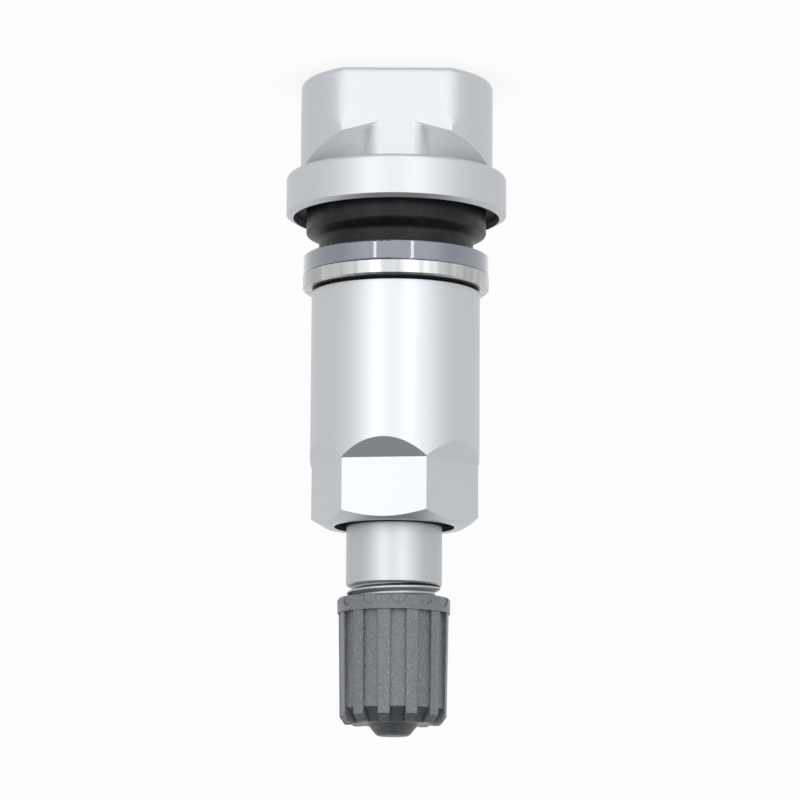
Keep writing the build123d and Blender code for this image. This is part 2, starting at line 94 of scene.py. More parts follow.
def opaque(colour):
    return (*colour, 1.0)


def add(tree, kind, inputs=(), **settings):
    """New node with its settings, and each input either linked or set to a value."""
    node = tree.nodes.new(kind)
    for name, value in settings.items():
        setattr(node, name, value)
    for name, value in dict(inputs).items():
        if isinstance(value, bpy.types.NodeSocket):
            tree.links.new(value, node.inputs[name])
        else:
            node.inputs[name].default_value = value
    return node


# Settings

class ValveFinish(bpy.types.PropertyGroup):
    """Colours of the valve's materials."""
    head_colour: bpy.props.FloatVectorProperty(
        name="Head", description="Colour of the anodised head and flange",
        subtype="COLOR", size=3, min=0, max=1, default=linear("#BFC2C6"))
    stem_colour: bpy.props.FloatVectorProperty(
        name="Stem", description="Colour of the turned stem of the same piece",
        subtype="COLOR", size=3, min=0, max=1, default=linear("#B2B6B9"))
    nut_colour: bpy.props.FloatVectorProperty(
        name="Clamp Nut", description="Colour of the anodised clamp nut",
        subtype="COLOR", size=3, min=0, max=1, default=linear("#BDC0C4"))
    washer_colour: bpy.props.FloatVectorProperty(
        name="Metal Washer", description="Colour of the turned washer",
        subtype="COLOR", size=3, min=0, max=1, default=linear("#A4A5A8"))
    streak_colour: bpy.props.FloatVectorProperty(
        name="Washer Streaks", description="Colour of the bright streaks on that washer's rim",
        subtype="COLOR", size=3, min=0, max=1, default=linear("#C0C1BF"))
    rubber_colour: bpy.props.FloatVectorProperty(
        name="Rubber", description="Colour of the grommet and the seals",
        subtype="COLOR", size=3, min=0, max=1, default=linear("#151618"))
    dust_colour: bpy.props.FloatVectorProperty(
        name="Dust", description="Colour of the dust in the rubber's grain",
        subtype="COLOR", size=3, min=0, max=1, default=linear("#2E2F31"))
    nylon_colour: bpy.props.FloatVectorProperty(
        name="Nylon", description="Colour of the milky insulating washer",
        subtype="COLOR", size=3, min=0, max=1, default=linear("#6F7989"))
    cap_colour: bpy.props.FloatVectorProperty(
        name="Cap", description="Colour of the moulded cap",
        subtype="COLOR", size=3, min=0, max=1, default=linear("#6C7177"))
    # painted glints: light specks in the cap's colour that stand in for glints of its grain
    painted_glint_colour: bpy.props.FloatVectorProperty(
        name="Cap Specks", description="Colour of the light specks in the moulded cap",
        subtype="COLOR", size=3, min=0, max=1, default=linear("#B0B3B7"))


class ValveThreads(bpy.types.PropertyGroup):
    """Sizes of the screw threads."""
    valve_diameter: bpy.props.FloatProperty(
        name="Valve Thread", description="Outer diameter of the thread that the cap screws on",
        unit="LENGTH", min=0, default=7.7 * MM)
    valve_pitch: bpy.props.FloatProperty(
        name="Valve Pitch", description="Rise of that thread in one turn",
        unit="LENGTH", min=0.1 * MM, default=0.794 * MM)
    clamp_diameter: bpy.props.FloatProperty(
        name="Clamp Thread", description="Outer diameter of the thread that the nut screws on",
        unit="LENGTH", min=0, default=9.0 * MM)
    clamp_pitch: bpy.props.FloatProperty(
        name="Clamp Pitch", description="Rise of that thread in one turn",
        unit="LENGTH", min=0.1 * MM, default=0.75 * MM)
    play: bpy.props.FloatProperty(
        name="Play", description="Radial play between a thread and its mating thread",
        unit="LENGTH", min=0, default=0.03 * MM)
    valve_length: bpy.props.FloatProperty(
        name="Valve Length", description="From the start of the valve thread to the stem's end",
        unit="LENGTH", min=0, default=9.47 * MM)
    clamp_inset: bpy.props.FloatProperty(
        name="Clamp Inset", description="How far the clamp thread starts inside the grommet",
        unit="LENGTH", min=0, default=1.1 * MM)
    run_out: bpy.props.FloatProperty(
        name="Run Out", description="Turns over which a thread fades at its ends",
        min=0.01, default=0.6)


class ValveStudio(bpy.types.PropertyGroup):
    """Camera and light."""
    distance: bpy.props.FloatProperty(
        name="Distance", description="From the camera to the point it aims at",
        unit="LENGTH", min=0.05, default=0.30)
    elevation: bpy.props.FloatProperty(
        name="Elevation", description="Height of the camera above that point, towards the cap",
        unit="ROTATION", default=radians(9.3))
    lean: bpy.props.FloatProperty(
        name="Lean", description="How far the valve leans in the picture",
        unit="ROTATION", default=radians(0.36))
    scale: bpy.props.FloatProperty(
        name="Scale", description="Pixels that a millimetre of the valve takes in the picture",
        min=1, default=12.11)
    aim: bpy.props.FloatVectorProperty(
        name="Aim", description="Point of the valve in the middle of the picture",
        subtype="TRANSLATION", size=3, default=(-0.405 * MM, 0, 26.65 * MM))
    front_gain: bpy.props.FloatProperty(
        name="Front", description="Share by which the room is brighter on the camera's side",
        min=0, default=0.86)
    overhead_loss: bpy.props.FloatProperty(
        name="Overhead", description="Share by which it is darker above the camera",
        min=0, max=1, default=0.85)
    strip_strength: bpy.props.FloatProperty(
        name="Strips", description="Radiance of the two narrow lamps beside the camera", min=0, default=4.2)
    strip_left: bpy.props.FloatProperty(
        name="Left Strip", description="Turn of the left one from the camera's side",
        unit="ROTATION", default=radians(25.8))
    strip_right: bpy.props.FloatProperty(
        name="Right Strip", description="Turn of the right one", unit="ROTATION", default=radians(-19.9))
    strip_distance: bpy.props.FloatProperty(
        name="Strip Distance", description="From the strips to the valve",
        unit="LENGTH", min=0.1, default=0.5)
    strip_width: bpy.props.FloatProperty(
        name="Strip Width", description="Width of each", unit="LENGTH", min=0.001, default=0.030)
    strip_height: bpy.props.FloatProperty(
        name="Strip Height", description="Height of each", unit="LENGTH", min=0.001, default=0.6)
    fill_strength: bpy.props.FloatProperty(
        name="Fill", description="Share of the room's light that matt surfaces get", min=0, default=1.35)


# Materials

def blank_material(name):
    """New material with an empty node tree, and that tree."""
    material = bpy.data.materials.new(name)
    material.use_nodes = True
    material.node_tree.nodes.clear()
    return material, material.node_tree


def lathe_coordinate(tree, place):
    """Distance along a turned profile: it grows along the axis and away from it."""
    parts = add(tree, "ShaderNodeSeparateXYZ", {0: place}).outputs
    across = add(tree, "ShaderNodeCombineXYZ", {0: parts[0], 1: parts[1]})
    radius = add(tree, "ShaderNodeVectorMath", {0: across.outputs[0]}, operation="LENGTH")
    return add(tree, "ShaderNodeMath", {0: parts[2], 1: radius.outputs["Value"]}).outputs[0]


def body_zones(tree, place, levels):
    """Shares of a point that lie on the stem, on an upright wall of the head, and in its milled pockets, and
    the point's height. The levels are the head's middle, the flange's face and the stem's start."""
    middle, flange, stem = levels
    spot = add(tree, "ShaderNodeSeparateXYZ", {0: place["Object"]}).outputs
    height = spot[2]
    tilt = add(tree, "ShaderNodeSeparateXYZ", {0: place["Normal"]}).outputs[2]
    steep = add(tree, "ShaderNodeMath", {0: tilt}, operation="ABSOLUTE").outputs[0]
    across = add(tree, "ShaderNodeCombineXYZ", {0: spot[0], 1: spot[1]}).outputs[0]
    radius = add(tree, "ShaderNodeVectorMath", {0: across}, operation="LENGTH").outputs["Value"]
    in_head = add(tree, "ShaderNodeMapRange", {
        "Value": height, "From Min": flange, "From Max": flange + CHANGE,
        "To Min": 1.0, "To Max": 0.0}).outputs[0]
    upright = add(tree, "ShaderNodeMapRange", {
        "Value": steep, "From Min": 0.05, "From Max": 0.25, "To Min": 1.0, "To Max": 0.0}).outputs[0]
    wall = add(tree, "ShaderNodeMath", {0: upright, 1: in_head}, operation="MULTIPLY").outputs[0]
    shelf = add(tree, "ShaderNodeMapRange", {"Value": tilt, "From Min": 0.4, "From Max": 0.7}).outputs[0]
    neck = add(tree, "ShaderNodeMapRange", {
        "Value": radius, "From Min": NECK_FRONT - 0.5 * MM, "From Max": NECK_FRONT,
        "To Min": 0.75, "To Max": 0.0}).outputs[0]
    milled = add(tree, "ShaderNodeMath", {0: shelf, 1: neck}, operation="MAXIMUM").outputs[0]
    past_middle = add(tree, "ShaderNodeMapRange", {
        "Value": height, "From Min": middle, "From Max": middle + CHANGE}).outputs[0]
    by_flange = add(tree, "ShaderNodeMath", {0: past_middle, 1: in_head}, operation="MULTIPLY").outputs[0]
    pocket = add(tree, "ShaderNodeMath", {0: milled, 1: by_flange}, operation="MULTIPLY").outputs[0]
    on_stem = add(tree, "ShaderNodeMapRange", {
        "Value": height, "From Min": stem, "From Max": stem + 1.0 * MM}).outputs[0]
    return on_stem, wall, pocket, height


def softened_normal(tree, wall, height, middle):
    """Normal with small round edges. On the head's walls they are wide and round the upright edges only, so
    there the normal loses its share along the axis. The body stands still, so world axes serve."""
    wide = add(tree, "ShaderNodeMapRange", {
        "Value": height, "From Min": middle, "From Max": middle + 1.2 * MM,
        "To Min": BLEND_RADIUS, "To Max": EDGE_RADIUS}).outputs[0]
    radius = add(tree, "ShaderNodeMix", {0: wall, 2: EDGE_RADIUS, 3: wide}).outputs[0]
    bevel = add(tree, "ShaderNodeBevel", {"Radius": radius}, samples=SOFT_RAYS).outputs[0]
    along = add(tree, "ShaderNodeMath", {0: 1.0, 1: wall}, operation="SUBTRACT").outputs[0]
    kept = add(tree, "ShaderNodeCombineXYZ", {0: 1.0, 1: 1.0, 2: along}).outputs[0]
    level = add(tree, "ShaderNodeVectorMath", {0: bevel, 1: kept}, operation="MULTIPLY").outputs[0]
    return add(tree, "ShaderNodeVectorMath", {0: level}, operation="NORMALIZE").outputs[0]


def stem_painted_shade(tree, on_stem, height, mouth):
    """Share of its colour that a point of the body keeps, as painted shade: less in the stem's grooves, and
    little in a band inside the nut's mouth, whose edge stands at the height mouth."""
    openness = add(tree, "ShaderNodeAmbientOcclusion", {
        "Distance": 1.0 * MM}, samples=SOFT_RAYS).outputs["AO"]
    groove_painted_shade = add(tree, "ShaderNodeMapRange", {
        "Value": openness, "From Min": 0.15, "From Max": 0.6, "To Min": 0.6}).outputs[0]
    stem_groove_painted_shade = add(tree, "ShaderNodeMix", {0: on_stem, 2: 1.0, 3: groove_painted_shade}).outputs[0]
    start = mouth - MOUTH_SHADE
    above_start = add(tree, "ShaderNodeMapRange", {
        "Value": height, "From Min": start, "From Max": start + 0.1 * MM}).outputs[0]
    below_edge = add(tree, "ShaderNodeMapRange", {
        "Value": height, "From Min": mouth - 0.03 * MM, "From Max": mouth + 0.04 * MM,
        "To Min": 0.92, "To Max": 0.0}).outputs[0]
    mouth_painted_shade = add(tree, "ShaderNodeMath", {0: above_start, 1: below_edge}, operation="MULTIPLY").outputs[0]
    lit = add(tree, "ShaderNodeMath", {0: 1.0, 1: mouth_painted_shade}, operation="SUBTRACT").outputs[0]
    return add(tree, "ShaderNodeMath", {0: stem_groove_painted_shade, 1: lit}, operation="MULTIPLY").outputs[0]


def anodised_body_metal(name, head_colour, stem_colour, levels, mouth):
    """Clear anodised aluminium: blasted and half matt on the head, whose edges look soft, matt in the milled
    pockets, and as turned with fine rings on the stem, which has painted shade in its grooves and in the
    nut's mouth, where little light gets in."""
    material, tree = blank_material(name)
    place = add(tree, "ShaderNodeTexCoord").outputs
    on_stem, wall, pocket, height = body_zones(tree, place, levels)
    grain = add(tree, "ShaderNodeTexNoise", {
        "Vector": place["Object"], "Scale": 1 / BLAST_GRAIN, "Detail": 3.0, "Roughness": 0.6}).outputs[0]
    rings = add(tree, "ShaderNodeTexNoise", {
        "W": lathe_coordinate(tree, place["Object"]), "Scale": 1 / TURNING_MARKS, "Detail": 3.0,
        "Roughness": 0.7}, noise_dimensions="1D").outputs[0]
    skin = add(tree, "ShaderNodeMix", {
        0: on_stem, 6: opaque(head_colour), 7: opaque(stem_colour)}, data_type="RGBA").outputs[2]
    # painted shade: the stem's grooves and a band inside the nut's mouth are darkened in the colour
    light = stem_painted_shade(tree, on_stem, height, mouth)
    shaded = add(tree, "ShaderNodeVectorMath", {0: skin, "Scale": light}, operation="SCALE").outputs[0]
    colour = add(tree, "ShaderNodeMix", {
        0: pocket, 6: shaded, 7: opaque(linear(POCKET_COLOUR))}, data_type="RGBA").outputs[2]
    skin_metal = add(tree, "ShaderNodeMapRange", {
        "Value": on_stem, "To Min": 0.8, "To Max": 0.95}).outputs[0]
    metal = add(tree, "ShaderNodeMix", {0: pocket, 2: skin_metal, 3: 0.1}).outputs[0]
    roughness = add(tree, "ShaderNodeMapRange", {
        "Value": grain, "From Min": 0.2, "From Max": 0.8, "To Min": 0.38, "To Max": 0.46}).outputs[0]
    fine = add(tree, "ShaderNodeBump", {
        "Height": grain, "Strength": 0.1, "Distance": 0.02 * MM,
        "Normal": softened_normal(tree, wall, height, levels[0])}).outputs[0]
    ring_strength = add(tree, "ShaderNodeMapRange", {
        "Value": on_stem, "To Min": 0.03, "To Max": 0.6}).outputs[0]
    turned = add(tree, "ShaderNodeBump", {
        "Height": rings, "Strength": ring_strength, "Distance": 0.02 * MM, "Normal": fine}).outputs[0]
    shader = add(tree, "ShaderNodeBsdfPrincipled", {
        "Base Color": colour, "Metallic": metal, "Roughness": roughness, "Normal": turned})
    add(tree, "ShaderNodeOutputMaterial", {"Surface": shader.outputs[0]})
    return material


def anodised_nut_metal(name, colour):
    """Clear anodised turned aluminium: a satin grey with a fine grain, with painted shade in its deep
    corners.
    """
    material, tree = blank_material(name)
    place = add(tree, "ShaderNodeTexCoord").outputs["Object"]
    grain = add(tree, "ShaderNodeTexNoise", {
        "Vector": place, "Scale": 1 / BLAST_GRAIN, "Detail": 3.0, "Roughness": 0.6}).outputs[0]
    # painted shade: the colour darkens in deep corners
    openness = add(tree, "ShaderNodeAmbientOcclusion", {
        "Distance": 2.0 * MM}, samples=SOFT_RAYS).outputs["AO"]
    corner = add(tree, "ShaderNodeMapRange", {
        "Value": openness, "From Min": 0.3, "From Max": 0.75, "To Min": 0.12}).outputs[0]
    shade = add(tree, "ShaderNodeVectorMath", {0: colour, "Scale": corner}, operation="SCALE").outputs[0]
    roughness = add(tree, "ShaderNodeMapRange", {
        "Value": grain, "From Min": 0.2, "From Max": 0.8, "To Min": 0.36, "To Max": 0.44}).outputs[0]
    soft_edge = add(tree, "ShaderNodeBevel", {"Radius": EDGE_RADIUS}, samples=SOFT_RAYS).outputs[0]
    bump = add(tree, "ShaderNodeBump", {
        "Height": grain, "Strength": 0.1, "Distance": 0.02 * MM, "Normal": soft_edge})
    shader = add(tree, "ShaderNodeBsdfPrincipled", {
        "Base Color": shade, "Metallic": 0.92, "Roughness": roughness, "Normal": bump.outputs[0]})
    add(tree, "ShaderNodeOutputMaterial", {"Surface": shader.outputs[0]})
    return material


def bright_turned_metal(name, colour, streak_colour):
    """Washer parted off on the lathe and tumbled: bright, with upright streaks round its rim."""
    material, tree = blank_material(name)
    place = add(tree, "ShaderNodeTexCoord").outputs["Object"]
    upright = add(tree, "ShaderNodeMapping", {"Vector": place, "Scale": (1, 1, 0.04)}).outputs[0]
    streaks = add(tree, "ShaderNodeTexNoise", {
        "Vector": upright, "Scale": 1 / (0.9 * MM), "Detail": 2.0, "Roughness": 0.5}).outputs[0]
    grain = add(tree, "ShaderNodeTexNoise", {"Vector": place, "Scale": 1 / (0.15 * MM)}).outputs[0]
    bright = add(tree, "ShaderNodeMapRange", {
        "Value": streaks, "From Min": 0.4, "From Max": 0.62}).outputs[0]
    shade = add(tree, "ShaderNodeMix", {
        0: bright, 6: opaque(colour), 7: opaque(streak_colour)}, data_type="RGBA").outputs[2]
    roughness = add(tree, "ShaderNodeMapRange", {
        "Value": grain, "From Min": 0.3, "From Max": 0.7, "To Min": 0.26, "To Max": 0.34}).outputs[0]
    bump = add(tree, "ShaderNodeBump", {"Height": streaks, "Strength": 0.12, "Distance": 0.05 * MM})
    shader = add(tree, "ShaderNodeBsdfPrincipled", {
        "Base Color": shade, "Metallic": 1.0, "Roughness": roughness, "Normal": bump.outputs[0]})
    add(tree, "ShaderNodeOutputMaterial", {"Surface": shader.outputs[0]})
    return material


def moulded_rubber(name, colour, dust_colour, rim_level):
    """Moulded rubber: nearly black, with a weak sheen, and a little dust where it stands out of its recess,
    whose rim is at the height rim_level. Inside the recess it carries painted shade: no dust and almost no
    sheen.
    Its grain is drawn coarser than it is."""
    material, tree = blank_material(name)
    place = add(tree, "ShaderNodeTexCoord").outputs["Object"]
    grain = add(tree, "ShaderNodeTexNoise", {
        "Vector": place, "Scale": 1 / (0.12 * MM), "Detail": 3.0, "Roughness": 0.6}).outputs[0]
    patches = add(tree, "ShaderNodeTexNoise", {
        "Vector": place, "Scale": 1 / (1.2 * MM), "Detail": 4.0}).outputs[0]
    height = add(tree, "ShaderNodeSeparateXYZ", {0: place}).outputs[2]
    # painted shade: inside the recess there is no dust and almost no sheen
    out = add(tree, "ShaderNodeMapRange", {
        "Value": height, "From Min": rim_level - 0.3 * MM, "From Max": rim_level + 0.3 * MM}).outputs[0]
    patch = add(tree, "ShaderNodeMapRange", {
        "Value": patches, "From Min": 0.5, "From Max": 0.75, "To Max": 0.8}).outputs[0]
    dust = add(tree, "ShaderNodeMath", {0: patch, 1: out}, operation="MULTIPLY").outputs[0]
    sheen = add(tree, "ShaderNodeMapRange", {"Value": out, "To Min": 0.02, "To Max": 0.22}).outputs[0]
    shade = add(tree, "ShaderNodeMix", {
        0: dust, 6: opaque(colour), 7: opaque(dust_colour)}, data_type="RGBA").outputs[2]
    bump = add(tree, "ShaderNodeBump", {"Height": grain, "Strength": 0.25, "Distance": 0.03 * MM})
    shader = add(tree, "ShaderNodeBsdfPrincipled", {
        "Base Color": shade, "Roughness": 0.42, "IOR": 1.52, "Specular IOR Level": sheen,
        "Normal": bump.outputs[0]})
    add(tree, "ShaderNodeOutputMaterial", {"Surface": shader.outputs[0]})
    return material


def milky_nylon(name, colour):
    """Natural nylon: milky and bluish, with a wet gloss that draws thin lines of light on its rim."""
    material, tree = blank_material(name)
    place = add(tree, "ShaderNodeTexCoord").outputs["Object"]
    cloud = add(tree, "ShaderNodeTexNoise", {"Vector": place, "Scale": 1 / (1.5 * MM)}).outputs[0]
    deep = tuple(channel * 0.8 for channel in colour)
    shade = add(tree, "ShaderNodeMix", {
        0: cloud, 6: opaque(deep), 7: opaque(colour)}, data_type="RGBA").outputs[2]
    shader = add(tree, "ShaderNodeBsdfPrincipled", {
        "Base Color": shade, "Roughness": 0.06, "IOR": 1.53, "Specular IOR Level": 1.0,
        "Subsurface Weight": 0.3, "Subsurface Scale": 0.5 * MM, "Coat Weight": 1.0, "Coat Roughness": 0.05})
    add(tree, "ShaderNodeOutputMaterial", {"Surface": shader.outputs[0]})
    return material


def grained_plastic(name, colour, painted_glint_colour):
    """Plastic moulded in a spark-eroded tool: dull grey, and its grain glints where the light stands in
    front; light specks in its colour are painted glints of the grain. The grain is drawn a little coarser
    than it is, so that it shows. Deep corners carry painted shade, and the faces that look along the axis,
    at the closed end, are painted darker as shade and get a weaker specular level."""
    material, tree = blank_material(name)
    where = add(tree, "ShaderNodeTexCoord").outputs
    place = where["Object"]
    tilt = add(tree, "ShaderNodeSeparateXYZ", {0: where["Normal"]}).outputs[2]
    grain = add(tree, "ShaderNodeTexNoise", {
        "Vector": place, "Scale": 1 / (0.18 * MM), "Detail": 2.0, "Roughness": 0.6}).outputs[0]
    cloud = add(tree, "ShaderNodeTexNoise", {
        "Vector": place, "Scale": 1 / (0.9 * MM), "Detail": 3.0, "Roughness": 0.6}).outputs[0]
    dark = tuple(channel * 0.85 for channel in colour)
    body = add(tree, "ShaderNodeMix", {
        0: cloud, 6: opaque(dark), 7: opaque(colour)}, data_type="RGBA").outputs[2]
    # painted glints: light specks mixed into the colour where the grain is high
    specks = add(tree, "ShaderNodeMapRange", {
        "Value": grain, "From Min": 0.52, "From Max": 0.72, "To Max": 0.5}).outputs[0]
    with_painted_glints = add(tree, "ShaderNodeMix", {
        0: specks, 6: body, 7: opaque(painted_glint_colour)}, data_type="RGBA").outputs[2]
    # painted shade in deep corners
    openness = add(tree, "ShaderNodeAmbientOcclusion", {
        "Distance": 0.5 * MM}, samples=SOFT_RAYS).outputs["AO"]
    corner = add(tree, "ShaderNodeMapRange", {
        "Value": openness, "From Min": 0.35, "From Max": 0.85, "To Min": 0.35}).outputs[0]
    # painted shade on faces that look along the axis; the same share also lowers their specular level
    side = add(tree, "ShaderNodeMapRange", {
        "Value": tilt, "From Min": 0.25, "From Max": 0.6, "To Min": 1.0, "To Max": 0.4}).outputs[0]
    painted_shade = add(tree, "ShaderNodeMath", {0: corner, 1: side}, operation="MULTIPLY").outputs[0]
    shade = add(tree, "ShaderNodeVectorMath", {0: with_painted_glints, "Scale": painted_shade}, operation="SCALE").outputs[0]
    soft_edge = add(tree, "ShaderNodeBevel", {"Radius": 0.1 * MM}, samples=SOFT_RAYS).outputs[0]
    bump = add(tree, "ShaderNodeBump", {
        "Height": grain, "Strength": 1.0, "Distance": 0.1 * MM, "Normal": soft_edge})
    shader = add(tree, "ShaderNodeBsdfPrincipled", {
        "Base Color": shade, "Roughness": 0.38, "IOR": 1.5, "Specular IOR Level": side,
        "Normal": bump.outputs[0]})
    add(tree, "ShaderNodeOutputMaterial", {"Surface": shader.outputs[0]})
    return material


def nickel_plated_brass(name):
    """Nickel on turned brass: a warm bright grey with fine rings."""
    material, tree = blank_material(name)
    place = add(tree, "ShaderNodeTexCoord").outputs["Object"]
    rings = add(tree, "ShaderNodeTexNoise", {
        "W": lathe_coordinate(tree, place), "Scale": 1 / (0.08 * MM)}, noise_dimensions="1D").outputs[0]
    dull, bright = (opaque(linear(code)) for code in PLATING_COLOURS)
    shade = add(tree, "ShaderNodeMix", {0: rings, 6: dull, 7: bright}, data_type="RGBA").outputs[2]
    bump = add(tree, "ShaderNodeBump", {"Height": rings, "Strength": 0.2, "Distance": 0.01 * MM})
    shader = add(tree, "ShaderNodeBsdfPrincipled", {
        "Base Color": shade, "Metallic": 1.0, "Roughness": 0.24, "Normal": bump.outputs[0]})
    add(tree, "ShaderNodeOutputMaterial", {"Surface": shader.outputs[0]})
    return material


def pressed_white_gasket(name):
    """Pressed fluoropolymer ring: white, waxy and faintly uneven."""
    material, tree = blank_material(name)
    place = add(tree, "ShaderNodeTexCoord").outputs["Object"]
    cloud = add(tree, "ShaderNodeTexNoise", {"Vector": place, "Scale": 1 / (0.5 * MM)}).outputs[0]
    dull, bright = (opaque(linear(code)) for code in GASKET_COLOURS)
    shade = add(tree, "ShaderNodeMix", {0: cloud, 6: dull, 7: bright}, data_type="RGBA").outputs[2]
    shader = add(tree, "ShaderNodeBsdfPrincipled", {"Base Color": shade, "Roughness": 0.45, "IOR": 1.38})
    add(tree, "ShaderNodeOutputMaterial", {"Surface": shader.outputs[0]})
    return material


def drawn_spring_wire(name):
    """Drawn stainless wire: a cool grey with a fine gloss."""
    material, tree = blank_material(name)
    place = add(tree, "ShaderNodeTexCoord").outputs["Object"]
    marks = add(tree, "ShaderNodeTexNoise", {"Vector": place, "Scale": 1 / (0.06 * MM)}).outputs[0]
    dull, bright = (opaque(linear(code)) for code in WIRE_COLOURS)
    shade = add(tree, "ShaderNodeMix", {0: marks, 6: dull, 7: bright}, data_type="RGBA").outputs[2]
    shader = add(tree, "ShaderNodeBsdfPrincipled", {
        "Base Color": shade, "Metallic": 1.0, "Roughness": 0.28})
    add(tree, "ShaderNodeOutputMaterial", {"Surface": shader.outputs[0]})
    return material


# Pieces

def dress(node_name, material):
    """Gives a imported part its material."""
    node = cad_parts[node_name]
    node.data.materials.clear()
    node.data.materials.append(material)


def material_for(maker, name, *details):
    """The material of that name, made at its first use."""
    return bpy.data.materials.get(name) or maker(name, *details)


def body_material(finish):
    """The valve body's metal, with the heights at which its finish changes."""
    recess, neck_end = (corner.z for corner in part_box("rim_grommet"))
    flange = recess + RECESS_DEPTH - FLANGE_THICKNESS
    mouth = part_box("clamp_nut")[1].z
    return material_for(anodised_body_metal, "clear_anodised_body", tuple(finish.head_colour),
                        tuple(finish.stem_colour), (flange / 2, flange, neck_end), mouth)


def nut_material(finish):
    """The nut's metal."""
    return material_for(anodised_nut_metal, "clear_anodised_nut", tuple(finish.nut_colour))


def cap_material(finish):
    """The cap's plastic."""
    return material_for(grained_plastic, "grained_plastic",
                        tuple(finish.cap_colour), tuple(finish.painted_glint_colour))


def ridge_tree():
    """Geometry nodes for a screw thread: a tapered ridge swept along a right-handed helix, fading at both
    ends. The spiral node turns that way when it is reversed."""
    tree = bpy.data.node_groups.new("helical_ridge", "GeometryNodeTree")
    sockets = tree.interface
    sockets.new_socket("Geometry", in_out="INPUT", socket_type="NodeSocketGeometry")
    sockets.new_socket("Geometry", in_out="OUTPUT", socket_type="NodeSocketGeometry")
    for name in ("Radius", "Pitch", "Turns", "Depth", "Root Width", "Crest Width", "Facing", "Run Out"):
        sockets.new_socket(name, in_out="INPUT", socket_type="NodeSocketFloat")
    sockets.new_socket("Steps", in_out="INPUT", socket_type="NodeSocketInt")
    sockets.new_socket("Material", in_out="INPUT", socket_type="NodeSocketMaterial")
    given = add(tree, "NodeGroupInput").outputs
    rise = add(tree, "ShaderNodeMath", {0: given["Pitch"], 1: given["Turns"]}, operation="MULTIPLY")
    helix = add(tree, "GeometryNodeCurveSpiral", {
        "Resolution": given["Steps"], "Rotations": given["Turns"], "Start Radius": given["Radius"],
        "End Radius": given["Radius"], "Height": rise.outputs[0], "Reverse": True})
    upright = add(tree, "GeometryNodeSetCurveNormal", {"Curve": helix.outputs["Curve"]}, mode="Z_UP")
    share = add(tree, "GeometryNodeSplineParameter").outputs["Factor"]
    left = add(tree, "ShaderNodeMath", {0: 1.0, 1: share}, operation="SUBTRACT")
    nearest = add(tree, "ShaderNodeMath", {0: share, 1: left.outputs[0]}, operation="MINIMUM")
    turns = add(tree, "ShaderNodeMath", {0: nearest.outputs[0], 1: given["Turns"]}, operation="MULTIPLY")
    fade = add(tree, "ShaderNodeMapRange", {
        "Value": turns.outputs[0], "From Min": 0.0, "From Max": given["Run Out"],
        "To Min": 0.02, "To Max": 1.0}, interpolation_type="SMOOTHSTEP")
    profile = add(tree, "GeometryNodeCurvePrimitiveQuadrilateral", {
        "Height": given["Depth"], "Bottom Width": given["Root Width"], "Top Width": given["Crest Width"],
        "Offset": 0.0}, mode="TRAPEZOID")
    half = add(tree, "ShaderNodeMath", {0: given["Depth"], 1: 0.5}, operation="MULTIPLY")
    lifted = add(tree, "ShaderNodeCombineXYZ", {1: half.outputs[0]})
    raised = add(tree, "GeometryNodeTransform", {
        "Geometry": profile.outputs["Curve"], "Translation": lifted.outputs[0]})
    turn = add(tree, "ShaderNodeCombineXYZ", {2: given["Facing"]})
    faced = add(tree, "GeometryNodeTransform", {
        "Geometry": raised.outputs["Geometry"], "Rotation": turn.outputs[0]})
    sweep = add(tree, "GeometryNodeCurveToMesh", {
        "Curve": upright.outputs["Curve"], "Profile Curve": faced.outputs["Geometry"],
        "Scale": fade.outputs["Result"], "Fill Caps": True})
    real = add(tree, "GeometryNodeRealizeInstances", {"Geometry": sweep.outputs["Mesh"]})
    painted = add(tree, "GeometryNodeSetMaterial", {
        "Geometry": real.outputs["Geometry"], "Material": given["Material"]})
    add(tree, "NodeGroupOutput", {0: painted.outputs["Geometry"]})
    return tree


def thread_piece(name, body, start, values):
    """One thread as a plain mesh that starts at a height, made by the ridge tree."""
    tree = bpy.data.node_groups.get("helical_ridge") or ridge_tree()
    maker = bpy.data.objects.new(name + "_maker", bpy.data.meshes.new(name + "_maker"))
    bpy.context.scene.collection.objects.link(maker)
    modifier = maker.modifiers.new("ridge", "NODES")
    modifier.node_group = tree
    for socket in tree.interface.items_tree:
        if socket.in_out == "INPUT" and socket.name in values:
            modifier[socket.identifier] = values[socket.name]
    seen = maker.evaluated_get(bpy.context.evaluated_depsgraph_get())
    mesh = bpy.data.meshes.new_from_object(seen)
    mesh.name = name
    mesh.transform(Matrix.Translation((0, 0, start)))
    mesh.shade_smooth()
    mesh.set_sharp_from_angle(angle=SHARP_ANGLE)
    bpy.data.objects.remove(maker)
    piece = bpy.data.objects.new(name, mesh)
    bpy.context.scene.collection.objects.link(piece)
    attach(piece, body)
    return piece


class VALVE_OT_body(bpy.types.Operator):
    """Finish the one-piece valve body"""
    bl_idname = "valve.body"
    bl_label = "Valve Body"

    def execute(self, context):
        dress("valve_body", body_material(context.scene.valve_finish))
        return {"FINISHED"}


class VALVE_OT_nut(bpy.types.Operator):
    """Finish the clamp nut"""
    bl_idname = "valve.nut"
    bl_label = "Clamp Nut"

    def execute(self, context):
        dress("clamp_nut", nut_material(context.scene.valve_finish))
        return {"FINISHED"}


